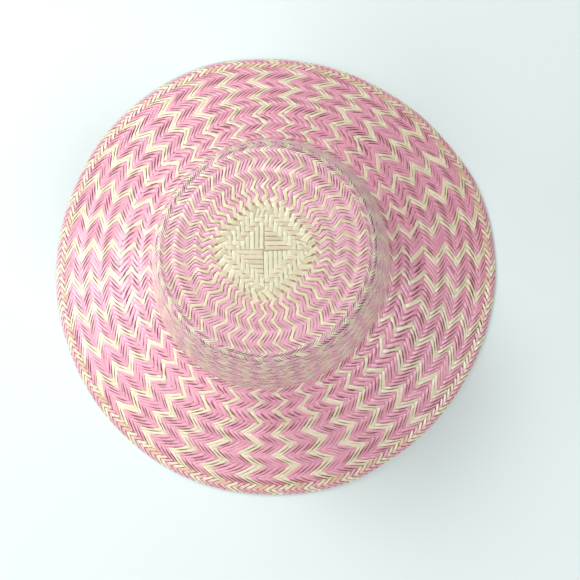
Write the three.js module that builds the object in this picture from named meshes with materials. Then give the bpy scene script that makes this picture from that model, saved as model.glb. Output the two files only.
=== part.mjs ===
// A round sun hat of plaited palm straw: a hollow crown, a drooping brim and a narrow plaited edge.
// Millimetres, +Z up. The origin is on the floor under the crown's axis, and the hat stands on its edge plait.
import * as THREE from 'three';

// Driving dimensions
const segmentsAround = 84;    // facets round the hat, a multiple of four
const strawWall = 1.5;        // crown and brim, two crossing straw strands and the air between them
const pieceGap = 0.3;         // left open where two pieces meet
const hatHeight = 138;        // floor to the middle of the tip, outside
const tipRise = 4.5;          // how far the tip swells above its own rim
const tipRadius = 69.5;       // flat part of the tip
const ridgeRound = 5.6;       // radius of the turned ridge between tip and wall
const wallBulge = 1.1;        // the wall swells outwards by this at half its height
const baseRadius = 91.2;      // crown at its base, mean of its oval
const baseHeight = 50.3;      // crown's base above the floor
const baseRound = 4;          // radius where the wall turns out into the brim
const footLean = 9.6;         // lean of the wall at its foot, in degrees from upright
const edgeRadius = 175;       // outside of the edge plait
const plaitWidth = 6.5;       // the edge plait seen from above
const ovalDirection = 72.5;   // azimuth of the head oval's long axis, in degrees

// How oval the hat is at each radius, as a share of the radius: round at the edge, oval at the head
const ovalSections = [
  { radius: 0, oval: 0.001 },
  { radius: 75, oval: 0.001 },
  { radius: 91.2, oval: 0.031 },
  { radius: 102, oval: 0.024 },
  { radius: 118, oval: 0.015 },
  { radius: 135, oval: 0.009 },
  { radius: 153, oval: 0.002 },
  { radius: 175, oval: 0 },
];

// The edge isn't a true circle: azimuth in degrees, and how far the edge lies outside edgeRadius there
const edgeWaves = [
  { azimuth: 0, outward: -1.5 },
  { azimuth: 30, outward: -2.2 },
  { azimuth: 70, outward: -3.5 },
  { azimuth: 90, outward: -1.5 },
  { azimuth: 115, outward: 1.4 },
  { azimuth: 150, outward: 0 },
  { azimuth: 180, outward: -1.5 },
  { azimuth: 210, outward: -0.4 },
  { azimuth: 240, outward: 0 },
  { azimuth: 270, outward: -1.5 },
  { azimuth: 305, outward: -0.5 },
  { azimuth: 340, outward: -0.4 },
  { azimuth: 360, outward: -1.5 },
];
const waveStart = 125;        // the edge's waves die out at this radius

// Values that follow from the driving dimensions
const tipEdgeHeight = hatHeight - tipRise;
const ridgeCentre = { r: tipRadius, z: tipEdgeHeight - ridgeRound };
const wallTop = { r: tipRadius + ridgeRound, z: ridgeCentre.z };
const wallFoot = { r: baseRadius, z: baseHeight + 0.5 * baseRound };
const droop = Math.atan2(baseHeight, edgeRadius - baseRadius);
const plaitStart = { r: edgeRadius - plaitWidth, z: plaitWidth * Math.tan(droop) };

const smooth = (t) => t * t * (3 - 2 * t);
const clamp01 = (t) => Math.min(1, Math.max(0, t));

// Reads a value out of a table at x, easing from row to row
function fromTable(rows, key, value, x, ease = (t) => t) {
  for (let i = 1; i < rows.length; i++) {
    const before = rows[i - 1];
    const after = rows[i];
    if (x <= after[key]) {
      const t = clamp01((x - before[key]) / (after[key] - before[key]));
      return before[value] + (after[value] - before[value]) * ease(t);
    }
  }
  return rows[rows.length - 1][value];
}

// Places a section point (r, z) at an azimuth in degrees, with the hat's oval and its wavy edge
function place(point, azimuth) {
  const twice = THREE.MathUtils.degToRad(2 * (azimuth - ovalDirection));
  const oval = fromTable(ovalSections, 'radius', 'oval', point.r);
  const wave = fromTable(edgeWaves, 'azimuth', 'outward', azimuth, smooth);
  const share = smooth(clamp01((point.r - waveStart) / (edgeRadius - waveStart)));
  const radius = point.r * (1 + oval * Math.cos(twice)) + wave * share;
  const angle = THREE.MathUtils.degToRad(azimuth);
  return [radius * Math.cos(angle), radius * Math.sin(angle), point.z];
}

// Moves every point of a section line sideways by distance; a positive distance is to the left of its run
function offset(line, distance) {
  return line.map((point, i) => {
    const before = line[Math.max(0, i - 1)];
    const after = line[Math.min(line.length - 1, i + 1)];
    const run = Math.hypot(after.r - before.r, after.z - before.z);
    if (point.r === 0) return { r: 0, z: point.z + distance };
    return {
      r: point.r - distance * (after.z - before.z) / run,
      z: point.z + distance * (after.r - before.r) / run,
    };
  });
}

// Points of an arc, angles in degrees from +r towards +z
function arc(centre, radius, from, to, steps) {
  return Array.from({ length: steps + 1 }, (_, i) => {
    const angle = THREE.MathUtils.degToRad(from + (to - from) * i / steps);
    return { r: centre.r + radius * Math.cos(angle), z: centre.z + radius * Math.sin(angle) };
  });
}

// Turns a closed section, run clockwise in (r, z), into a closed body.
// A section that starts and ends on the axis is closed there by a fan.
function revolve(section) {
  const positions = [];
  const indices = [];
  const rings = section.map((point) => {
    if (point.r === 0) {
      positions.push(0, 0, point.z);
      return Array(segmentsAround).fill(positions.length / 3 - 1);
    }
    return Array.from({ length: segmentsAround }, (_, j) => {
      positions.push(...place(point, 360 * j / segmentsAround));
      return positions.length / 3 - 1;
    });
  });
  const onAxis = section[0].r === 0;
  const strips = onAxis ? rings.length - 1 : rings.length;
  for (let i = 0; i < strips; i++) {
    const here = rings[i];
    const next = rings[(i + 1) % rings.length];
    for (let j = 0; j < segmentsAround; j++) {
      const k = (j + 1) % segmentsAround;
      if (here[j] !== here[k]) indices.push(here[j], next[j], here[k]);
      if (next[j] !== next[k]) indices.push(here[k], next[j], next[k]);
    }
  }
  const geometry = new THREE.BufferGeometry();
  geometry.setAttribute('position', new THREE.Float32BufferAttribute(positions, 3));
  geometry.setIndex(indices);
  geometry.computeVertexNormals();
  return geometry;
}

// A wall of even thickness round a section line that runs outwards and down
function wallSection(line) {
  return [...offset(line, strawWall / 2), ...offset(line, -strawWall / 2).reverse()];
}

function piece(name, geometry, colour) {
  const material = new THREE.MeshStandardMaterial({ color: colour, roughness: 0.72, metalness: 0 });
  const mesh = new THREE.Mesh(geometry, material);
  mesh.name = name;
  return mesh;
}

// Crown: tip, turned ridge and wall
function crown() {
  const tipSteps = 6;
  const wallSteps = 6;
  const half = strawWall / 2;
  const tip = Array.from({ length: tipSteps }, (_, i) => {
    const t = i / tipSteps;
    return { r: tipRadius * t, z: tipEdgeHeight + tipRise * (1 - t * t) - half };
  });
  const ridge = arc(ridgeCentre, ridgeRound - half, 86, 12, 4);
  const wall = Array.from({ length: wallSteps }, (_, i) => {
    const t = (i + 1) / wallSteps;
    return {
      r: wallTop.r + (wallFoot.r - wallTop.r) * t + wallBulge * Math.sin(Math.PI * t) - half,
      z: wallTop.z + (wallFoot.z - wallTop.z) * t,
    };
  });
  return piece('crown', revolve(wallSection([...tip, ...ridge, ...wall])), 0xd9aeb4);
}

// Brim: turns out of the wall's foot and droops in a nearly straight cone
function brim() {
  const lean = THREE.MathUtils.degToRad(footLean);
  const reach = baseRound + pieceGap * Math.tan(lean);
  const centre = {
    r: wallFoot.r - strawWall / 2 + reach * Math.cos(lean),
    z: wallFoot.z - pieceGap / Math.cos(lean) + reach * Math.sin(lean),
  };
  const turn = arc(centre, baseRound, 180 + footLean, 270 - THREE.MathUtils.radToDeg(droop), 3);
  const coneSteps = 7;
  const start = turn[turn.length - 1];
  const end = { r: plaitStart.r - pieceGap * Math.cos(droop), z: plaitStart.z + pieceGap * Math.sin(droop) };
  const cone = Array.from({ length: coneSteps }, (_, i) => {
    const t = (i + 1) / coneSteps;
    return { r: start.r + (end.r - start.r) * t, z: start.z + (end.z - start.z) * t };
  });
  return piece('brim', revolve(wallSection([...turn, ...cone])), 0xdf9fb4);
}

// Edge plait: a thicker band with a flat underside, which the hat stands on.
// Its section is given by how far each corner lies from where the plait starts, outwards and up.
function edgePlait() {
  const face = { out: 1.3 * Math.sin(droop), up: 1.3 * Math.cos(droop) };
  const corners = [
    { out: face.out, up: face.up },
    { out: 2.6, up: 0.6 },
    { out: 4.9, up: -0.8 },
    { out: 6.2, up: -2.2 },
    { out: plaitWidth, up: 0.9 - plaitStart.z },
    { out: 6.1, up: -plaitStart.z },
    { out: 2.3, up: -plaitStart.z },
    { out: 0.5, up: 1 - plaitStart.z },
    { out: -face.out, up: -face.up },
  ];
  const section = corners.map(({ out, up }) => ({ r: plaitStart.r + out, z: plaitStart.z + up }));
  return piece('edge_plait', revolve(section), 0xe6cfae);
}

const sunHat = new THREE.Group();
sunHat.add(crown(), brim(), edgePlait());

export default sunHat;
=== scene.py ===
import math

import bpy
import numpy as np
from mathutils import Matrix, Vector


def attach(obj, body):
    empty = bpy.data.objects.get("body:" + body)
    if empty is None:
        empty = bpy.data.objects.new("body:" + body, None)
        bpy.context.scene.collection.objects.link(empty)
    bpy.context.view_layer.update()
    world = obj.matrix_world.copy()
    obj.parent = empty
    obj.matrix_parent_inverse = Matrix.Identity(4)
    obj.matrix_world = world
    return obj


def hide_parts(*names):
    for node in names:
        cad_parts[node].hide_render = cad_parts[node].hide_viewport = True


# Sun hat of plaited palm straw. Lengths in the dictionaries are millimetres, angles are degrees.
# Two families of strands spiral out from the star in the tip: "left" ones turn anticlockwise on
# their way out, "right" ones clockwise. In one ring all the left floats lie on top, in the next
# ring all the right ones, and their natural strands then draw the zigzags.

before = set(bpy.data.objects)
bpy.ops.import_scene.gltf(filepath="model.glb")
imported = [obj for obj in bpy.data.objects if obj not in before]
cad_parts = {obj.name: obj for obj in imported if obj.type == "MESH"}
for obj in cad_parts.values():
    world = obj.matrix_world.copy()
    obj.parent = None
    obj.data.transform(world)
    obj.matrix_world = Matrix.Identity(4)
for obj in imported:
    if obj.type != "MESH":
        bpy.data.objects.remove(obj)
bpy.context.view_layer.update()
rng = np.random.default_rng(36)
mm = 0.001
zigzags = 36                  # natural strands in each family
zigzagWidth = 360 / zigzags   # degrees from one natural strand to the next
floatCuts = 4                 # sections of a strand along one float


# The surface that the plait follows.

hatForm = {
    "tipRadius": 69.5,
    "tipTop": 137.25,         # middle of the straw at the tip's centre
    "tipRise": 4.5,
    "tipStop": 70,            # up to here along the section it is the tip
    "ridge": {"r": 69.5, "z": 127.9, "round": 4.85, "start": 86, "stop": 6},
    "wallTop": (74.35, 127.9),
    "wallFoot": (90.45, 52.3),
    "wallBulge": 1.1,
    "turn": {"r": 94.44, "z": 52.67, "round": 4.0, "start": 189.6, "stop": 239.0},
    "brimTop": 49.3,          # below this height it is the brim
    "brimEnd": (171.0, 2.4),
    "ovalDirection": 72.5,    # long axis of the head oval
    # radius, and the share of it that the oval adds on its long axis and takes off on its short one
    "oval": (
        (0, 0.001), (75, 0.001), (91.2, 0.031), (102, 0.024), (118, 0.015), (135, 0.009), (153, 0.002),
        (175, 0),
    ),
    # azimuth, and how far the wavy edge lies outside its circle there
    "wave": (
        (0, 1.3), (20, 1.8), (40, -1.8), (60, -3.5), (80, -3.0), (90, -2.1), (110, 1.6), (140, 1.2),
        (160, -0.4), (200, -0.5), (220, 0.5), (250, 2.1), (270, 1.4), (290, 2.1), (303, 0.0), (330, -0.6),
        (345, 0.2), (360, 1.3),
    ),
    "waveStart": 125,
    "edgeRadius": 175,
}


def arcPoints(arc, steps):
    angle = np.radians(np.linspace(arc["start"], arc["stop"], steps))
    return np.stack([arc["r"] + arc["round"] * np.cos(angle), arc["z"] + arc["round"] * np.sin(angle)], 1)


def sectionLine(form):
    # radius and height of the middle of the straw, from the tip's centre out to the edge plait
    r = np.linspace(0, form["tipRadius"], 140)
    z = form["tipTop"] - form["tipRise"] * (r / form["tipRadius"]) ** 2
    t = np.linspace(0.02, 0.985, 120)
    top, foot = np.array(form["wallTop"]), np.array(form["wallFoot"])
    wall = top + (foot - top) * t[:, None]
    wall[:, 0] += form["wallBulge"] * np.sin(math.pi * t)
    turn = arcPoints(form["turn"], 16)
    cone = turn[-1] + (np.array(form["brimEnd"]) - turn[-1]) * np.linspace(0.01, 1, 120)[:, None]
    return np.concatenate([np.stack([r, z], 1), arcPoints(form["ridge"], 24)[1:], wall, turn, cone])


def smoothed(values, width):
    window = np.hanning(width) / np.hanning(width).sum()
    return np.convolve(np.pad(values, width // 2, mode="edge"), window, "valid")


def measured(line, steps):
    # even steps along a section line, with the outward normal at each
    length = np.concatenate([[0], np.cumsum(np.hypot(*np.diff(line, axis=0).T))])
    s = np.linspace(0, length[-1], steps)
    r, z = np.interp(s, length, line[:, 0]), np.interp(s, length, line[:, 1])
    dr, dz = smoothed(np.gradient(r, s), 9), smoothed(np.gradient(z, s), 9)
    run = np.hypot(dr, dz)
    return {"s": s, "r": r, "z": z, "nr": -dz / run, "nz": dr / run}


hatLine = measured(sectionLine(hatForm), 900)
lineStep, lineR, lineZ = hatLine["s"], hatLine["r"], hatLine["z"]
lineEnd = lineStep[-1]


def smooth(t):
    t = np.clip(t, 0, 1)
    return t * t * (3 - 2 * t)


def tableValue(x, table):
    # between the rows of a short table of (place, value)
    places, values = np.array(table, float).T
    return np.interp(x, places, values)


def wave(azimuth):
    # how far the wavy edge lies outside its circle
    a = np.mod(azimuth, 360)
    knots, values = np.array(hatForm["wave"], float).T
    i = np.clip(np.searchsorted(knots, a, side="right") - 1, 0, len(knots) - 2)
    return values[i] + (values[i + 1] - values[i]) * smooth((a - knots[i]) / (knots[i + 1] - knots[i]))


def placeOnHat(r, z, azimuth):
    # turns a section point into a point on the hat, with its oval head and wavy edge
    oval = tableValue(r, hatForm["oval"])
    radius = r * (1 + oval * np.cos(np.radians(2 * (azimuth - hatForm["ovalDirection"]))))
    start, end = hatForm["waveStart"], hatForm["edgeRadius"]
    radius = radius + wave(azimuth) * smooth((r - start) / (end - start))
    angle = np.radians(azimuth)
    return np.stack([radius * np.cos(angle), radius * np.sin(angle), z + 0 * angle], -1)


def hatNormal(s, azimuth, line=hatLine):
    nr, nz = np.interp(s, line["s"], line["nr"]), np.interp(s, line["s"], line["nz"])
    angle = np.radians(azimuth)
    return np.stack([nr * np.cos(angle), nr * np.sin(angle), nz], -1)


def hatPoint(s, azimuth, lift=0.0, line=hatLine):
    nr, nz = np.interp(s, line["s"], line["nr"]), np.interp(s, line["s"], line["nz"])
    r = np.interp(s, line["s"], line["r"]) + lift * nr
    z = np.interp(s, line["s"], line["z"]) + lift * nz
    return placeOnHat(r, z, azimuth)


def sAtRadius(r):
    # distance along the section at a radius, on the tip or on the brim
    tip = lineStep < hatForm["tipStop"]
    brim = lineStep > lineStep[np.argmin(np.abs(lineZ - hatForm["brimTop"]))]
    r = np.asarray(r, float)
    onTip = np.interp(r, lineR[tip], lineStep[tip])
    onBrim = np.interp(r, lineR[brim], lineStep[brim])
    return np.where(r < hatForm["wallTop"][0], onTip, onBrim)


# The rings of the plait.

# Each ring: how far a strand has turned round the hat by its outer end, where that end is, and the
# family on top. A strand's turn is the same for both families, to the left or to the right.
ringTable = {
    "tip": (                  # turn, radius, family on top
        (27.5, 14.5, "right"), (37.5, 20.0, "left"), (47.5, 25.5, "right"), (53.75, 31.0, "left"),
        (60.625, 36.2, "right"), (65.625, 42.0, "left"), (70.625, 48.0, "right"), (75.625, 54.6, "left"),
        (80.625, 62.4, "right"), (85.625, 68.4, "left"),
    ),
    "ridge": ((90.625, 3.7, "right"), (95.417, 6.0, "left")),   # turn, the ring's own length, family on top
    "wallRings": 10,
    "wallTurn": 5.0,          # turn in one ring of the wall
    "wallStop": 52.0,         # height at the wall's foot, and how much further the last ring runs
    "wallExtra": 1.0,
    "brim": (                 # turn, radius, family on top
        (150.625, 95.5, "right"), (155.625, 102.0, "left"), (160.625, 109.0, "right"),
        (165.625, 118.0, "left"), (170.417, 127.5, "right"), (175.417, 136.0, "left"),
        (180.417, 144.5, "right"), (185.417, 152.5, "left"), (190.417, 161.0, "right"),
        (195.417, 168.3, "left"), (197.1, 171.0, "right"),
    ),
}


def ringEnds(table):
    # turn and distance along the section at each ring's end, and the family on top in each ring
    turns, ends, tops = [0.0], [0.0], []

    def addRing(turn, end, top):
        turns.append(turn)
        ends.append(end)
        tops.append(top)

    for turn, r, top in table["tip"]:
        addRing(turn, float(sAtRadius(r)), top)
    for turn, length, top in table["ridge"]:
        addRing(turn, ends[-1] + length, top)
    turnStart, wallStart = turns[-1], ends[-1]
    wallStop = float(lineStep[np.argmin(np.abs(lineZ - table["wallStop"]))]) + table["wallExtra"]
    for k in range(table["wallRings"]):
        end = wallStart + (wallStop - wallStart) * (k + 1) / table["wallRings"]
        addRing(turnStart + table["wallTurn"] * (k + 1), end, "right" if k % 2 == 0 else "left")
    for turn, r, top in table["brim"]:
        addRing(turn, float(sAtRadius(r)), top)
    return np.array(turns), np.array(ends), tops


ringTurns, ringS, ringTops = ringEnds(ringTable)
print("plait: ", len(ringTops), "rings,", round(float(ringS[-1]), 1), "mm from the centre to the edge plait")

starForm = {
    "pitch": 3.1,             # from one strip of the star to the next
    "armLevel": 7.5,          # crossings from the centre at which the four quadrants draw apart
    "blendStart": 32.0,       # turn at which the straight strips begin to run round the circle
    "blendStop": 55.0,
    # the first round rings still bulge this far towards the four corners, over this stretch of the section
    "diamond": {"size": 2.0, "start": 18, "rise": 12, "stop": 52, "fall": 18},
    "stop": 81.0,             # turn at which the star has no effect any more
    "cornerGrowth": 0.75,     # how fast the rings move out at the star's four corners
    "twist": 1.5,             # the zigzags start this far round from the star's own axes
    "offCentre": (-0.93, -0.73),
    "offCentreStop": 62,      # radius at which the rings are round the centre again
}

# a hand-made plait isn't quite even: rows of amount, waves round the hat, shift and length along the section
handWork = {
    "start": 26,              # the star in the middle is even
    "rise": 14,
    "sway": ((0.55, 3, 0.4, 21), (0.45, 5, 2.1, -30), (0.3, 8, 0, 17)),      # degrees
    "calm": {"share": 0.5, "start": 70, "length": 30},                       # less sway past the tip
    "ripple": ((0.35, 2, 1.2, 15), (0.3, 4, 0, 9), (0.16, 9, 0, -7)),        # millimetres
    "edge": 9,
}


def starGrid(phi, turn, quadrant):
    # where a crossing lies in the straight star; level counts crossings out from the centre
    pitch, armLevel = starForm["pitch"], starForm["armLevel"]
    level = turn / 5
    inner = phi - 90 * quadrant
    across = (inner + 5 * level - 40) / zigzagWidth * pitch
    along = (5 * level + 50 - inner) / zigzagWidth * pitch
    angle = np.radians(90.0 * quadrant)
    straightX = along * np.cos(angle) - across * np.sin(angle)
    straightY = along * np.sin(angle) + across * np.cos(angle)
    # between two quadrants the last strips leave a growing sector round each axis
    axis = np.round(phi / 90) * 90
    reach = np.maximum(5 * level - 35, 1e-3)
    off = phi - axis
    growth = starForm["cornerGrowth"] * np.maximum(level - armLevel, 0) * pitch
    sectorX = (armLevel + 1) * pitch + growth * (1 - (off / reach) ** 2)
    sectorY = off / reach * (level - armLevel) * pitch
    angle = np.radians(axis)
    cornerX = sectorX * np.cos(angle) - sectorY * np.sin(angle)
    cornerY = sectorX * np.sin(angle) + sectorY * np.cos(angle)
    corner = (level > armLevel) & (np.abs(off) < reach)
    return np.where(corner, cornerX, straightX), np.where(corner, cornerY, straightY)


def waves(rows, angle, s):
    return sum(amount * np.sin(count * angle + shift + s / length) for amount, count, shift, length in rows)


def onSurface(phi, turn, quadrant):
    # from plait coordinates to (distance along the section, azimuth)
    s = np.interp(turn, ringTurns, ringS)
    azimuth = phi + 0 * s
    if np.min(turn) < starForm["stop"]:
        diamond = starForm["diamond"]
        bulge = smooth((s - diamond["start"]) / diamond["rise"])
        bulge = bulge * smooth((diamond["stop"] - s) / diamond["fall"])
        s = s + diamond["size"] * bulge * np.cos(np.radians(4 * phi))
        home = np.floor(phi / 90) if quadrant is None else quadrant + 0 * phi
        gridX, gridY = starGrid(phi, turn, home)
        share = smooth((turn - starForm["blendStart"]) / (starForm["blendStop"] - starForm["blendStart"]))
        r = np.interp(s, lineStep, lineR)
        x = gridX * (1 - share) + r * np.cos(np.radians(phi)) * share
        y = gridY * (1 - share) + r * np.sin(np.radians(phi)) * share
        offCentre = 1 - smooth(np.hypot(x, y) / starForm["offCentreStop"])
        x, y = x + starForm["offCentre"][0] * offCentre, y + starForm["offCentre"][1] * offCentre
        near = turn < starForm["stop"]
        s = np.where(near, sAtRadius(np.minimum(np.hypot(x, y), hatForm["tipStop"])), s)
        azimuth = np.where(near, np.degrees(np.arctan2(y, x)), azimuth)
    angle = np.radians(azimuth)
    pastStar = smooth((s - handWork["start"]) / handWork["rise"])
    calm = handWork["calm"]
    sway = waves(handWork["sway"], angle, s)
    sway = sway * (1 - calm["share"] * smooth((s - calm["start"]) / calm["length"]))
    azimuth = azimuth + pastStar * (starForm["twist"] + sway)
    ripple = waves(handWork["ripple"], angle, s)
    s = s + ripple * pastStar * smooth((lineEnd - s) / handWork["edge"])
    return s, azimuth


def plaitPoint(phi, turn, quadrant):
    s, azimuth = onSurface(phi, turn, quadrant)
    return hatPoint(s, azimuth)


# Ribbons.

# Sections of a strand, across from -1 to 1 and up from -1 to 1: the crowned top, then the flatter underside
fullSection = ((-1, 0), (-0.84, 0.7), (-0.35, 1), (0.35, 1), (0.84, 0.7), (1, 0), (0.7, -0.8), (-0.7, -0.8))
flatSection = ((-1, 0), (-0.88, 0.8), (-0.4, 1), (0.4, 1), (0.88, 0.8), (1, 0), (0.8, -0.9), (-0.8, -0.9))
lightSection = ((-1, 0), (-0.72, 0.9), (0.72, 0.9), (1, 0), (0.7, -0.8), (-0.7, -0.8))

ribbonForm = {
    "probe": 0.05,            # degrees to the next point, which gives a strand's directions
    "leastAcross": 0.2,       # the two families are taken to cross at least this squarely
    "mostSlant": 0.7,         # how far a section may slant to follow the other family
    "mostHalf": 2.6,          # half of the widest strand
    "narrowest": 0.3,         # gaps beside a float, from the least to the most
    "widest": 1.5,
    "closed": 0.1,            # this share of the floats has no gap
}


def unit(v):
    return v / np.maximum(np.linalg.norm(v, axis=-1, keepdims=True), 1e-9)


def floatHeights(turns, family, halfStep):
    # 1 where the strand floats on top, -1 where it runs underneath
    height = np.zeros_like(turns)
    for k, top in enumerate(ringTops):
        inside = (turns >= ringTurns[k] - 1e-6) & (turns <= ringTurns[k + 1] + 1e-6)
        height[inside] = 1 if top == family else -1
    for edge in ringTurns[1:-1]:
        near = np.abs(turns - edge) < halfStep * 0.999
        height[near] = 0
    return height


def ringSamples(start, stop, halfStep):
    # turns at which a strand gets a section: just inside each ring's ends, and between them
    samples = [start]
    for k in range(len(ringTurns) - 1):
        low, high = max(ringTurns[k] + halfStep, start), min(ringTurns[k + 1] - halfStep, stop)
        if high - low > 1e-6:
            samples += list(np.linspace(low, high, floatCuts))
    samples.append(stop)
    samples = np.unique(np.round(samples, 5))
    return samples[(samples >= start) & (samples <= stop)]


def strandSet(family, phases, turns, widths, heights, shifts, quadrant=None):
    # family: which way they turn; phases: one azimuth for each strand; turns: the samples
    # widths, heights and shifts: a strand's room in degrees, its lift and its way aside at each sample
    way = 1 if family == "left" else -1
    n, m = len(phases), len(turns)
    turn = np.broadcast_to(turns, (n, m))
    phi = phases[:, None] + way * turn + shifts
    home = None if quadrant is None else np.full((n, m), float(quadrant))
    return {"phi": phi, "turn": turn, "way": way, "width": np.broadcast_to(widths, (n, m)),
            "lift": np.broadcast_to(heights, (n, m)), "home": home}


def solveRibbon(strands, fill, crown):
    # centre line, sideways vector and thickness of every strand in the set
    phi, turn, way, home = strands["phi"], strands["turn"], strands["way"], strands["home"]
    probe, least, slant = ribbonForm["probe"], ribbonForm["leastAcross"], ribbonForm["mostSlant"]
    s, azimuth = onSurface(phi, turn, home)
    centre = hatPoint(s, azimuth, strands["lift"])
    flat = hatPoint(s, azimuth)
    normal = hatNormal(s, azimuth)
    along = unit(plaitPoint(phi + way * probe, turn + probe, home) - flat)
    other = unit(plaitPoint(phi - way * probe, turn + probe, home) - flat)
    perDegree = (plaitPoint(phi + probe, turn, home) - plaitPoint(phi - probe, turn, home)) / (2 * probe)
    across = unit(np.cross(normal, along))
    pitch = np.abs(np.sum(perDegree * across, -1)) * strands["width"]
    acrossPart = np.sum(other * across, -1)
    acrossPart = np.where(np.abs(acrossPart) < least, least * np.sign(acrossPart + 1e-9), acrossPart)
    shear = np.clip(np.sum(other * along, -1) / acrossPart, -slant, slant)
    side = across + along * shear[..., None]
    half = np.minimum(0.5 * fill * pitch, ribbonForm["mostHalf"])
    return {"centre": centre, "side": side, "normal": normal, "half": half, "crown": crown + 0 * half}


def coverOf(cover, n, m, heights):
    # how openly each point lies: tops of floats on the outside, undersides of floats on the inside
    above, below = (np.broadcast_to(part, (n, m))[..., None] for part in cover)
    edge = 0.85 * np.maximum(above, below)
    return np.where(heights > 0, above, np.where(heights < 0, below, edge))


def floatCover(height):
    # 1 along a float, 0 where another strand covers it, seen from above and from below
    return np.where(height > 0, 1.0, 0.0), np.where(height < 0, 1.0, 0.0)


def unevenness(turns, count, room):
    # small sideways and width changes along each strand, so that gaps open and close
    start = rng.random((4, count, 1)) * 2 * math.pi
    side = 0.035 * np.sin(turns * 0.9 + start[0]) + 0.035 * np.sin(turns * 0.37 + start[1])
    width = 1 + 0.04 * np.sin(turns * 0.7 + start[2]) + 0.04 * np.sin(turns * 1.9 + start[3])
    return side * room, width * (1 + rng.normal(0, 0.025, (count, 1)))


def floatGaps(turns, height, step, count=1):
    # 0 at a float's ends, about 1 in its middle where the strands draw apart, and another value in each float
    near = np.min(np.abs(turns[:, None] - ringTurns[None, 1:-1]) / step, 1) < 1.1
    ring = np.searchsorted(ringTurns, turns)
    table = (count, len(ringTurns) + 1)
    size = rng.uniform(ribbonForm["narrowest"], ribbonForm["widest"], table)
    size = size * (rng.random(table) > ribbonForm["closed"])
    return np.where(near | (height <= 0), 0, size[:, ring])


def narrowed(gap, height, amount):
    # narrower where a gap opens, and a little wider where hidden, so that no light comes through
    return np.where(height > 0, 1 - amount * gap, np.where(height < 0, 1.1, 1.04))


def ribbonArrays(solved, section, dye, tone, cover, gap, stain=1.0, dark=0.0):
    # vertices, quads and values of a set of closed ribbons
    centre, side, normal = solved["centre"], solved["side"], solved["normal"]
    n, m = centre.shape[:2]
    shape = np.array(section, float)
    k = len(shape)
    points = (centre[:, :, None] + side[:, :, None] * (solved["half"][:, :, None] * shape[:, 0])[..., None]
              + normal[:, :, None] * (solved["crown"][:, :, None] * shape[:, 1])[..., None])
    index = np.arange(n * m * k).reshape(n, m, k)
    after = np.roll(index, -1, 2)
    quads = np.stack([index[:, :-1], after[:, :-1], after[:, 1:], index[:, 1:]], -1).reshape(-1, 4)
    steps = np.linalg.norm(np.diff(centre, axis=1), axis=-1)
    length = np.concatenate([np.zeros((n, 1)), np.cumsum(steps, 1)], 1)
    # below nothing at a float's ends, so that its painted shade lines stop short of them
    gap = np.where(np.asarray(gap) > 0.02, gap, -0.9)

    def spread(values):
        # one value for every point of the ribbons
        return np.broadcast_to(values, (n, m, k)).reshape(-1)

    return {
        "points": points.reshape(-1, 3),
        "quads": quads,
        "caps": np.concatenate([index[:, 0, ::-1], index[:, -1]]),
        "across": spread(shape[:, 0] * 0.5 + 0.5),
        "along": spread(length[..., None]),
        "stain": spread(np.broadcast_to(stain, (n, m))[..., None]),
        "gap": spread(np.broadcast_to(gap, (n, m))[..., None]),
        "dark": spread(np.broadcast_to(dark, (n, m))[..., None]),
        "dye": spread(np.asarray(dye)[:, None, None]),
        "tone": spread(np.asarray(tone)[:, None, None]),
        "cover": spread(coverOf(cover, n, m, shape[:, 1])),
    }


def ribbonObject(name, sets, material):
    # joins sets of ribbons into one mesh object
    verts = np.concatenate([part["points"] for part in sets]) * mm
    starts = np.cumsum([0] + [len(part["points"]) for part in sets[:-1]])
    loops, sizes = [], []
    for start, part in zip(starts, sets):
        for faces in (part["quads"], part["caps"]):
            loops.append((faces + start).reshape(-1))
            sizes.append(np.full(len(faces), faces.shape[1]))
    loops, sizes = np.concatenate(loops), np.concatenate(sizes)
    mesh = bpy.data.meshes.new(name)
    mesh.vertices.add(len(verts))
    mesh.vertices.foreach_set("co", verts.astype(np.float32).reshape(-1))
    mesh.loops.add(len(loops))
    mesh.loops.foreach_set("vertex_index", loops.astype(np.int32))
    mesh.polygons.add(len(sizes))
    mesh.polygons.foreach_set("loop_start", np.concatenate([[0], np.cumsum(sizes)[:-1]]).astype(np.int32))
    mesh.polygons.foreach_set("use_smooth", np.ones(len(sizes), bool))
    mesh.update(calc_edges=True)
    for key in ("across", "along", "dye", "tone", "cover", "gap", "stain", "dark"):
        layer = mesh.attributes.new(key, "FLOAT", "POINT")
        layer.data.foreach_set("value", np.concatenate([part[key] for part in sets]).astype(np.float32))
    mesh.set_sharp_from_angle(angle=math.radians(38))
    mesh.materials.append(material)
    piece = bpy.data.objects.new(name, mesh)
    bpy.context.scene.collection.objects.link(piece)
    print(name, len(verts), "points,", int(np.sum(sizes - 2)), "triangles")
    return piece


# Straw materials.

def addNode(tree, kind, place, **values):
    node = tree.nodes.new(kind)
    node.location = place
    for key, value in values.items():
        setattr(node, key, value)
    return node


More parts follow.
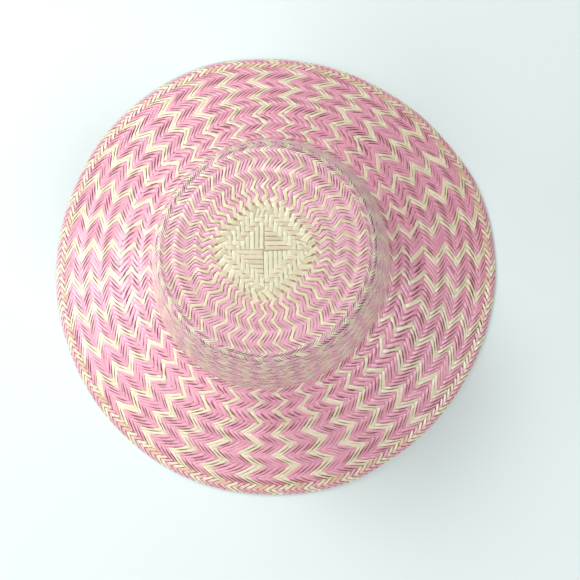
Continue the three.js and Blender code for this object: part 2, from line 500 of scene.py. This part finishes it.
def strawLook():
    # one group for all straw: colour by dye and tone, painted shade in the gaps and dives, fine fibres as
    # height
    group = bpy.data.node_groups.new("strawLook", "ShaderNodeTree")
    face = group.interface
    for name in ("Natural", "Natural Dark", "Stained", "Dyed", "Dyed Dark", "Tan"):
        face.new_socket(name=name, in_out="INPUT", socket_type="NodeSocketColor")
    for name in ("Edge Shade Width", "Edge Shade Strength", "Dive Shade Strength", "Fibre Strength"):
        face.new_socket(name=name, in_out="INPUT", socket_type="NodeSocketFloat")
    face.new_socket(name="Color", in_out="OUTPUT", socket_type="NodeSocketColor")
    face.new_socket(name="Roughness", in_out="OUTPUT", socket_type="NodeSocketFloat")
    face.new_socket(name="Height", in_out="OUTPUT", socket_type="NodeSocketFloat")
    given = addNode(group, "NodeGroupInput", (-1500, 800)).outputs
    result = addNode(group, "NodeGroupOutput", (900, 0)).inputs
    link = group.links.new

    def read(name, y):
        return addNode(group, "ShaderNodeAttribute", (-1500, y), attribute_name=name).outputs["Fac"]

    def put(value, socket):
        # numbers and colours go on the socket itself
        if isinstance(value, (int, float, tuple)):
            socket.default_value = value
        else:
            link(value, socket)

    def calc(kind, place, *values, clamp=False):
        node = addNode(group, "ShaderNodeMath", place, operation=kind, use_clamp=clamp)
        for value, socket in zip(values, node.inputs):
            put(value, socket)
        return node.outputs[0]

    def mix(place, factor, a, b):
        node = addNode(group, "ShaderNodeMix", place, data_type="RGBA")
        put(factor, node.inputs[0])
        put(a, node.inputs[6])
        put(b, node.inputs[7])
        return node.outputs[2]

    def noise(place, vector, scale, detail):
        node = addNode(group, "ShaderNodeTexNoise", place)
        node.inputs["Scale"].default_value = scale
        node.inputs["Detail"].default_value = detail
        link(vector, node.inputs["Vector"])
        return node.outputs["Fac"]

    across, along = read("across", 600), read("along", 400)
    dye, tone = read("dye", 200), read("tone", 0)
    cover, stain = read("cover", -200), read("stain", -400)
    gap, dark = read("gap", -600), read("dark", -800)
    # fibres: noise drawn out along the strand, another lot of it in every strand
    grain = addNode(group, "ShaderNodeCombineXYZ", (-1200, 500))
    link(calc("MULTIPLY", (-1350, 600), across, 9.0), grain.inputs[0])
    link(calc("MULTIPLY", (-1350, 450), along, 0.16), grain.inputs[1])
    link(calc("MULTIPLY", (-1350, 300), tone, 61.0), grain.inputs[2])
    fibre = noise((-1000, 500), grain.outputs[0], 1.0, 3.0)
    blotch = noise((-1000, 250), grain.outputs[0], 0.35, 2.0)
    # how dark the straw itself is, by its fibres, blotches and strand
    fibreTone = calc("SUBTRACT", (-800, 500), fibre, 0.5)
    fibreTone = calc("MULTIPLY", (-650, 500), fibreTone, given["Fibre Strength"])
    blotchTone = calc("SUBTRACT", (-800, 250), blotch, 0.5)
    blotchTone = calc("MULTIPLY", (-650, 250), blotchTone, 0.5)
    strandTone = calc("MULTIPLY", (-800, 100), tone, 0.22)
    strandTone = calc("ADD", (-500, 200), strandTone, blotchTone)
    ownTone = calc("ADD", (-350, 300), fibreTone, strandTone, clamp=True)
    # painted shade: a dark line along each edge of a float for the shadow in the gap between strands, widest
    # in the float's middle
    edgeDistance = calc("SUBTRACT", (-1200, -100), 1.0, across)
    edgeDistance = calc("MINIMUM", (-1050, -100), across, edgeDistance)
    edgeDistance = calc("MULTIPLY", (-900, -100), edgeDistance, 2.0)
    lineWidth = calc("MULTIPLY", (-750, -100), gap, given["Edge Shade Width"])
    lineFade = calc("MULTIPLY", (-750, -250), given["Edge Shade Width"], 0.5)
    edgeNear = calc("SUBTRACT", (-600, -100), lineWidth, edgeDistance)
    edgeNear = calc("DIVIDE", (-450, -200), edgeNear, lineFade, clamp=True)
    paintedEdgeShade = calc("MULTIPLY", (-450, -100), edgeNear, given["Edge Shade Strength"])
    # painted shade where a strand dives under the others
    hidden = calc("SUBTRACT", (-900, -400), 0.5, cover)
    hidden = calc("MULTIPLY", (-750, -400), hidden, 4.0, clamp=True)
    paintedDiveShade = calc("MULTIPLY", (-600, -400), hidden, given["Dive Shade Strength"])
    shadeAndToneMask = calc("MAXIMUM", (-300, -200), paintedEdgeShade, paintedDiveShade, clamp=True)
    shadeAndToneMask = calc("ADD", (-150, -100), shadeAndToneMask, ownTone, clamp=True)
    # natural straw and dyed straw, each from its light to its dark tone; the dark end takes the straw's own
    # tone and the painted shade of gaps and dives
    natural = mix((-100, 400), stain, given["Natural"], given["Stained"])
    natural = mix((100, 300), shadeAndToneMask, natural, given["Natural Dark"])
    dyed = mix((100, 50), shadeAndToneMask, given["Dyed"], given["Dyed Dark"])
    isDyed = calc("MINIMUM", (100, -150), dye, 1.0, clamp=True)
    isTan = calc("SUBTRACT", (100, -300), dye, 1.0, clamp=True)
    color = mix((350, 200), isDyed, natural, dyed)
    color = mix((550, 100), isTan, color, given["Tan"])
    # painted shade: where a gap is open wide, a near-black colour stands in for the shaded inside of the hat
    paintedOpenShade = calc("MULTIPLY", (250, -500), dark, edgeNear, clamp=True)
    color = mix((700, 100), paintedOpenShade, color, (0.15, 0.06, 0.04, 1))
    # the strands shine, the gaps between them don't
    roughness = calc("MULTIPLY_ADD", (400, -100), fibre, 0.2, 0.3)
    roughness = calc("MULTIPLY_ADD", (550, -100), edgeNear, 0.6, roughness, clamp=True)
    height = calc("MULTIPLY", (400, -300), blotch, 0.5)
    height = calc("ADD", (550, -300), fibre, height)
    link(color, result["Color"])
    link(roughness, result["Roughness"])
    link(height, result["Height"])
    return group


strawGroup = strawLook()
strawFinish = {"bump": 0.7, "bumpDepth": 0.2, "gloss": 1.0, "ior": 1.72}


def strawMaterial(name, look):
    material = bpy.data.materials.new(name)
    material.use_nodes = True
    tree = material.node_tree
    shader = tree.nodes["Principled BSDF"]
    group = addNode(tree, "ShaderNodeGroup", (-500, 0), node_tree=strawGroup)
    for key, value in look.items():
        group.inputs[key].default_value = value
    bump = addNode(tree, "ShaderNodeBump", (-250, -250))
    bump.inputs["Strength"].default_value = strawFinish["bump"]
    bump.inputs["Distance"].default_value = strawFinish["bumpDepth"] * mm
    tree.links.new(group.outputs["Color"], shader.inputs["Base Color"])
    tree.links.new(group.outputs["Roughness"], shader.inputs["Roughness"])
    tree.links.new(group.outputs["Height"], bump.inputs["Height"])
    tree.links.new(bump.outputs["Normal"], shader.inputs["Normal"])
    shader.inputs["Specular IOR Level"].default_value = strawFinish["gloss"]
    shader.inputs["IOR"].default_value = strawFinish["ior"]
    return material


# Natural Dark and Dyed Dark are the straw's darker tones and also the painted shade in gaps and dives; the
# edge and dive settings set how strong that painted shade is
crownLook = {
    "Natural": (0.785, 0.77, 0.54, 1), "Natural Dark": (0.36, 0.27, 0.13, 1),
    "Dyed": (0.79, 0.40, 0.495, 1), "Dyed Dark": (0.38, 0.10, 0.16, 1),
    "Stained": (0.84, 0.72, 0.49, 1), "Tan": (0.66, 0.47, 0.30, 1),
    "Edge Shade Width": 0.33, "Edge Shade Strength": 0.66, "Dive Shade Strength": 0.85, "Fibre Strength": 0.6,
}
brimLook = {
    "Natural": (0.85, 0.83, 0.62, 1), "Natural Dark": (0.32, 0.25, 0.11, 1),
    "Dyed": (0.84, 0.345, 0.46, 1), "Dyed Dark": (0.34, 0.06, 0.11, 1),
    "Stained": (0.88, 0.76, 0.545, 1), "Tan": (0.66, 0.47, 0.30, 1),
    "Edge Shade Width": 0.46, "Edge Shade Strength": 0.78, "Dive Shade Strength": 0.85, "Fibre Strength": 0.6,
}
edgeLook = {
    "Natural": (0.87, 0.84, 0.63, 1), "Natural Dark": (0.38, 0.28, 0.13, 1),
    "Dyed": (0.83, 0.42, 0.48, 1), "Dyed Dark": (0.38, 0.10, 0.14, 1),
    "Stained": (0.87, 0.75, 0.54, 1), "Tan": (0.68, 0.46, 0.27, 1),
    "Edge Shade Width": 0.4, "Edge Shade Strength": 0.9, "Dive Shade Strength": 0.85, "Fibre Strength": 0.6,
}
crownStraw = strawMaterial("crownStraw", crownLook)
brimStraw = strawMaterial("brimStraw", brimLook)
edgeStraw = strawMaterial("edgeStraw", edgeLook)
print("straw: ", crownStraw.name, brimStraw.name, edgeStraw.name)


# Crown: star and tip.

tipPlait = {
    "strips": 9,              # natural strips of the star in each quadrant
    "lift": 0.28,             # a float's middle above the straw's middle surface
    "fill": 0.97,             # strand width as a share of its room
    # turn, and how far a strand is rounded up there: flat strips in the star, rounder towards the ridge
    "crown": ((0, 0.16), (45, 0.18), (60, 0.27), (85, 0.34)),
    # turn, and the share by which a dyed float narrows in its middle there
    "pinch": ((0, 0.02), (45, 0.04), (60, 0.13), (85, 0.26)),
    "naturalPinch": 0.7,      # natural floats narrow by this share of it
    # turn, and half of the turn in which a strand dives there
    "cross": ((0, 1.4), (48, 1.3), (54, 0.8), (61, 0.6), (71, 0.4), (90, 0.33)),
    # turn, and the natural strand's width in degrees there
    "natural": {
        "left": ((0, 10), (54, 9.6), (60.6, 4.8), (65.6, 4.4), (70.6, 3.0), (75.6, 2.8), (82, 2.6)),
        "right": ((0, 10), (52, 9.0), (53.9, 7.6), (60.6, 5.0), (65.8, 4.0), (70.6, 3.6), (78, 2.7)),
    },
    # turns at which a zigzag's three dyed strands come in
    "dyed": {"left": (57.2, 68.1, 68.1), "right": (50.6, 63.1, 73.1)},
    "stop": {"left": 88.1, "right": 83.1},
    "starGap": 0.6,           # least share of its gaps that shows in the star
    "stainStart": 22,         # radius from which the dye has stained the natural straw
    "stainRise": 16,
    "flatStain": 0.55,        # the strips that lie across the picture are tanner
    "flatTone": 0.6,
    "toneSpread": 1.2,
}


def naturalShare(family, turns):
    # the natural strand's part of a zigzag's width at each turn
    return tableValue(turns, tipPlait["natural"][family])


def dyedShare(family, turns):
    # what one dyed strand gets of the rest
    count = 1 + np.array([smooth((turns - born) / 2.0) for born in tipPlait["dyed"][family][1:]]).sum(0)
    return (zigzagWidth - naturalShare(family, turns)) / count


def crossStep(turn):
    return tableValue(turn, tipPlait["cross"])


def tipSamples(start, stop):
    # like ringSamples, with closer changes of height where the strands are narrow
    samples = [start]
    for low, high in zip(ringTurns[:-1], ringTurns[1:]):
        if high < start or low > stop:
            continue
        lowStep = crossStep(low if low > start else 0)
        low, high = max(low + lowStep, start), min(high - crossStep(high), stop)
        if high - low > 0.05:
            cuts = floatCuts if high - low < 8 else int((high - low) / 2.5) + 2
            samples += list(np.linspace(low, high, cuts))
    samples.append(stop)
    return np.unique(np.round([t for t in samples if start <= t <= stop], 4))


def tipHeights(turns, family):
    # no sample lies this near to a crossing
    return floatHeights(turns, family, 0.2)


def stripHalf(family, quadrant, k):
    # half of a natural strip, from the middle of the star out to the ridge
    home = (quadrant - 1) % 4 if family == "right" else quadrant
    phase = 90 * home + (45 + 10 * k if family == "right" else 45 - 10 * k)
    turns = tipSamples(5 * (k - 0.5), tipPlait["stop"][family])
    height = tipHeights(turns, family)
    height[0] = 0
    natural = naturalShare(family, turns)
    side, width = unevenness(turns, 1, natural)
    gap = floatGaps(turns, height, crossStep(ringTurns[None, 1:-1]))
    narrow = narrowed(gap, height, tipPlait["naturalPinch"] * tableValue(turns, tipPlait["pinch"]))
    strands = strandSet(family, np.array([phase], float), turns, natural * width * narrow,
                        height * tipPlait["lift"], side * smooth((turns - 45) / 15), home)
    solved = solveRibbon(strands, tipPlait["fill"], tableValue(turns, tipPlait["crown"])[None])
    return solved, floatCover(height), gap * np.maximum(tipPlait["starGap"], smooth((turns - 20) / 30))


def naturalStrip(quadrant, k):
    # crosses the star, and its ends run on as a left and as a right strand
    back, backCover, backGap = stripHalf("right", quadrant, k)
    front, frontCover, frontGap = stripHalf("left", quadrant, k)
    back["side"] = -back["side"]
    whole = {key: np.concatenate([back[key][:, ::-1], front[key][:, 1:]], 1) for key in back}
    cover = [np.concatenate([a[::-1], b[1:]])[None] for a, b in zip(backCover, frontCover)]
    gap = np.concatenate([backGap[:, ::-1], frontGap[:, 1:]], 1)
    flat = quadrant % 2
    tone = tipPlait["toneSpread"] * rng.random() + tipPlait["flatTone"] * flat
    radius = np.hypot(whole["centre"][..., 0], whole["centre"][..., 1])
    stain = smooth((radius - tipPlait["stainStart"]) / tipPlait["stainRise"])
    stain = np.maximum(stain, flat * tipPlait["flatStain"])
    return ribbonArrays(whole, flatSection, [0.0], [tone], cover, gap, stain)


def dyedStrands(family, order):
    # one dyed strand in each zigzag, laid in while its family runs underneath
    born = tipPlait["dyed"][family][order]
    turns = tipSamples(born, tipPlait["stop"][family])
    height = tipHeights(turns, family)
    natural, dyed = naturalShare(family, turns), dyedShare(family, turns)
    side, width = unevenness(turns, zigzags, dyed)
    gap = floatGaps(turns, height, crossStep(ringTurns[None, 1:-1]), zigzags)
    narrow = narrowed(gap, height, tableValue(turns, tipPlait["pinch"]))
    sunk = 0.3 * (1 - smooth((turns - born) / 1.2))
    starts = zigzagWidth / 2 + zigzagWidth * np.arange(zigzags)
    strands = strandSet(family, starts, turns, dyed * width * narrow, height * tipPlait["lift"] - sunk,
                        natural / 2 + (order + 0.5) * dyed + side)
    solved = solveRibbon(strands, tipPlait["fill"], tableValue(turns, tipPlait["crown"])[None])
    cover = [part[None] for part in floatCover(height)]
    return ribbonArrays(solved, fullSection, np.ones(zigzags), rng.random(zigzags), cover, gap)


tipSets = [naturalStrip(quadrant, k) for quadrant in range(4) for k in range(tipPlait["strips"])]
tipSets += [dyedStrands(family, order) for family in ("left", "right") for order in range(3)]
crownTip = ribbonObject("crown_tip", tipSets, crownStraw)
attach(crownTip, "root")
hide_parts("crown")


# Crown: wall, and the brim.

# dyes: the strands of one zigzag in each family, 1 where dyed; left and right: from which turn to which
# step: half of the turn in which a strand dives; spread: how wide the painted shade lines are; open: how near
# to black the painted shade goes in open gaps, for the shaded inside; tint and fade: dye in the natural
# strands and in the dyed ones
ridgePlait = {
    "dyes": (0, 0, 1, 1, 1), "left": (88.1, 96.35), "right": (83.1, 93.0), "phase": 5,
    "lift": 0.36, "crown": 0.3, "fill": 0.96, "pinch": 0.3, "step": 0.4,
    "spread": 1.25, "open": 0.9, "tint": 0.12, "fade": 0.95, "stain": 0.3,
}
wallPlait = {
    "dyes": (0, 0, 1, 1, 1), "left": (96.35, 148.0), "right": (93.0, 144.45), "phase": 5,
    "lift": 0.42, "crown": 0.3, "fill": 0.96, "pinch": 0.3, "step": 0.4,
    "spread": 1.2, "open": 0.45, "tint": 0.28, "fade": 0.86, "stain": 1.0,
}
innerBrim = {
    "dyes": (0, 1, 1, 1), "left": (148.0, 168.0), "right": (144.45, 163.1), "phase": 0,
    "lift": 0.3, "crown": 0.27, "fill": 1.02, "pinch": 0.2, "step": 0.35,
    "spread": 1.0, "open": 0.0, "tint": 0.0, "fade": 1.0, "stain": 1.0,
}
outerBrim = {
    "dyes": (0, 0, 1, 1, 1, 1), "left": (168.0, 196.2), "right": (163.1, 195.3), "phase": 0,
    "lift": 0.3, "crown": 0.27, "fill": 1.02, "pinch": 0.24, "step": 0.24,
    "spread": 1.0, "open": 0.0, "tint": 0.0, "fade": 1.0, "stain": 1.0,
}


def plainSet(plan, family):
    # all strands of one family between two turns, evenly shared
    count = len(plan["dyes"])
    start, stop = plan[family]
    turns = ringSamples(start, stop, plan["step"])
    height = floatHeights(turns, family, plan["step"])
    room = zigzagWidth / count
    starts = zigzagWidth * np.arange(zigzags)[:, None]
    phases = (plan["phase"] + starts + room * np.arange(count)[None]).reshape(-1)
    phases = phases - room * (plan["dyes"].count(0) - 1) / 2
    dyed = np.tile(plan["dyes"], zigzags) > 0
    side, width = unevenness(turns, len(phases), room)
    gap = floatGaps(turns, height, plan["step"], len(phases))
    narrow = narrowed(gap, height, plan["pinch"] * np.where(dyed[:, None], 1.0, 0.7))
    sunk = 0.3 * (1 - smooth((turns - start) / 0.8))
    strands = strandSet(family, phases, turns, room * width * narrow, height * plan["lift"] - sunk, side)
    solved = solveRibbon(strands, plan["fill"], plan["crown"])
    cover = [part[None] for part in floatCover(height)]
    dye = np.where(dyed, plan["fade"], plan["tint"])
    # gap times spread widens the painted shade lines; open times gap sets the painted near-black shade in
    # open gaps
    return ribbonArrays(solved, fullSection, dye, rng.random(len(phases)), cover, gap * plan["spread"],
                        plan["stain"], plan["open"] * np.minimum(gap, 1))


for family in ("left", "right"):
    wallSets = [plainSet(ridgePlait, family), plainSet(wallPlait, family)]
    wall = ribbonObject("crown_wall_" + family, wallSets, crownStraw)
    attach(wall, "root")
    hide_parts("crown")
    brimSets = [plainSet(innerBrim, family), plainSet(outerBrim, family)]
    brim = ribbonObject("brim_" + family, brimSets, brimStraw)
    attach(brim, "root")
    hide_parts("brim")


# Edge plait.

edgePlait = {
    # radius and height of its section, from the brim round the edge to the underside
    "line": (
        (166.6, 5.4), (167.9, 5.0), (169.6, 4.65), (171.3, 3.95), (173.1, 2.95), (174.25, 2.05),
        (174.7, 1.25), (174.2, 0.7), (172.6, 0.63), (170.9, 0.68), (169.5, 1.4), (168.4, 2.3),
    ),
    # turn and distance along the section at each row's end, and the family on top
    "rows": ((2.3, 4.3, "right"), (5.0, 9.0, "left"), (7.4, 13.2, "right"), (8.8, 16.4, "left")),
    # family, its first and last turn, and its repeat of natural (0), dyed (1) and tan (2) strands
    "families": (("right", 0.0, 7.2, (0, 1, 0, 0, 2, 1.5)), ("left", 1.6, 8.6, (1, 1, 1, 0, 0, 1))),
    "strands": 216,
    "phase": 0.8,
    "jitter": 0.06,
    "step": 0.22,
    "slant": 0.35,
    "mostHalf": 1.6,
    "lift": 0.24,
    "crown": 0.3,
    "fill": 0.94,
}


def edgeSection(corners):
    # the section with its corners rounded
    t = np.linspace(0, len(corners) - 1, 200)
    columns = [smoothed(np.interp(t, range(len(corners)), column), 31) for column in zip(*corners)]
    return measured(np.stack(columns, 1), 300)


def edgeSet(plan, line, family, start, stop, dyes):
    # all strands of one family in the edge plait
    way = 1 if family == "left" else -1
    count, step = plan["strands"], plan["step"]
    room = 360 / count
    turns = np.array([0] + [row[0] for row in plan["rows"]])
    ends = np.array([0] + [min(row[1], line["s"][-1]) for row in plan["rows"]])
    samples, heights = [], []
    for k, row in enumerate(plan["rows"]):
        low, high = max(turns[k] + step, start), min(turns[k + 1] - step, stop)
        if high - low > 0.05:
            samples += list(np.linspace(low, high, floatCuts))
            heights += [1 if row[2] == family else -1] * floatCuts
    samples, heights = np.array(samples), np.array(heights, float)
    phases = plan["phase"] + room * np.arange(count) + rng.normal(0, plan["jitter"], count)
    turn = np.broadcast_to(samples, (count, len(samples)))
    phi = phases[:, None] + way * turn

    def point(phi, turn, lift=0.0):
        return hatPoint(np.interp(turn, turns, ends), phi, lift, line)

    centre = point(phi, turn, heights * plan["lift"])
    normal = hatNormal(np.interp(turn, turns, ends), phi, line)
    along = unit(point(phi + way * 0.02, turn + 0.02) - point(phi, turn))
    across = unit(np.cross(normal, along))
    perDegree = (point(phi + 0.05, turn) - point(phi - 0.05, turn)) / 0.1
    pitch = np.abs(np.sum(perDegree * across, -1))
    half = np.minimum(0.5 * plan["fill"] * pitch * room, plan["mostHalf"])
    ring = unit(perDegree)
    side = unit(across + plan["slant"] * ring * np.sign(np.sum(ring * across, -1, keepdims=True)))
    crown = plan["crown"] + 0 * half
    solved = {"centre": centre, "side": side, "normal": normal, "half": half, "crown": crown}
    cover = np.where(heights > 0, 1.0, 0.0)[None]
    inside = np.abs(samples[:, None] - turns[None, 1:-1]).min(1) > 0.3
    dye = np.tile(dyes, count // len(dyes)).astype(float)
    # cover times inside gives painted shade lines along the floats, stopping short of the rows' ends
    return ribbonArrays(solved, lightSection, dye, rng.random(count), (cover, cover), cover * inside)


edgeLine = edgeSection(edgePlait["line"])
edgeSets = [edgeSet(edgePlait, edgeLine, *row) for row in edgePlait["families"]]
edge = ribbonObject("edge_plait_strands", edgeSets, edgeStraw)
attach(edge, "root")
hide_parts("edge_plait")


# Floor, light and camera, in metres and watts.

stageLook = {
    "floor": (0.72, 0.81, 0.80),
    "floorHalf": 4,
    "world": (1.0, 1.0, 1.0),
    "worldStrength": 0.09,
    "lights": {
        "keyLight": {"place": (-0.65, 0.65, 0.92), "size": 0.5, "power": 7.7},
        "upperLight": {"place": (-0.655, 1.135, 0.918), "size": 0.8, "power": 5.6},
        "backLight": {"place": (0.45, 1.45, 0.75), "size": 0.8, "power": 1.2},
        "leftLight": {"place": (-1.256, 0.0, 0.336), "size": 0.6, "power": 7.7},
        "sideLight": {"place": (-0.994, -0.574, 0.61), "size": 0.45, "power": 1.4},
        "lowerLight": {"place": (-0.655, -1.135, 0.918), "size": 0.8, "power": 6.5},
        "rightLight": {"place": (1.113, -0.643, 1.532), "size": 0.9, "power": 20.3},
    },
}


def makeFloor(look):
    half = look["floorHalf"]
    mesh = bpy.data.meshes.new("floor")
    corners = [(-half, -half, 0), (half, -half, 0), (half, half, 0), (-half, half, 0)]
    mesh.from_pydata(corners, [], [(0, 1, 2, 3)])
    floor = bpy.data.objects.new("floor", mesh)
    bpy.context.scene.collection.objects.link(floor)
    material = bpy.data.materials.new("paleFloor")
    material.use_nodes = True
    shader = material.node_tree.nodes["Principled BSDF"]
    shader.inputs["Base Color"].default_value = (*look["floor"], 1)
    shader.inputs["Roughness"].default_value = 0.9
    shader.inputs["Specular IOR Level"].default_value = 0.1
    mesh.materials.append(material)


def makeWorld(look):
    world = bpy.data.worlds.new("studio")
    bpy.context.scene.world = world
    world.use_nodes = True
    background = world.node_tree.nodes["Background"]
    background.inputs["Color"].default_value = (*look["world"], 1)
    background.inputs["Strength"].default_value = look["worldStrength"]


def areaLight(name, light):
    data = bpy.data.lights.new(name, "AREA")
    data.shape = "DISK"
    data.size = light["size"]
    data.energy = light["power"]
    lamp = bpy.data.objects.new(name, data)
    lamp.location = light["place"]
    lamp.rotation_euler = (-Vector(light["place"])).to_track_quat("-Z", "Y").to_euler()
    bpy.context.scene.collection.objects.link(lamp)


makeFloor(stageLook)
makeWorld(stageLook)
for name, light in stageLook["lights"].items():
    areaLight(name, light)
print("stage: floor, world and", len(stageLook["lights"]), "lights")

cameraView = {
    "place": (0.02994, -0.08143, 0.79608),
    "lens": 62.07,
    "sensor": 36,
    "shift": (0.0293, -0.0342),
}


def makeCamera(view):
    # looks at the origin, with +Y at the top of the picture
    data = bpy.data.cameras.new("camera")
    data.lens = view["lens"]
    data.sensor_width = view["sensor"]
    data.shift_x, data.shift_y = view["shift"]
    camera = bpy.data.objects.new("camera", data)
    back = Vector(view["place"]).normalized()
    right = Vector((0, 1, 0)).cross(back).normalized()
    up = back.cross(right)
    camera.matrix_world = Matrix.Translation(view["place"]) @ Matrix((right, up, back)).transposed().to_4x4()
    bpy.context.scene.collection.objects.link(camera)
    bpy.context.scene.camera = camera


makeCamera(cameraView)
bpy.context.scene.view_settings.view_transform = "Standard"
print("camera: ", cameraView["lens"], "mm lens")
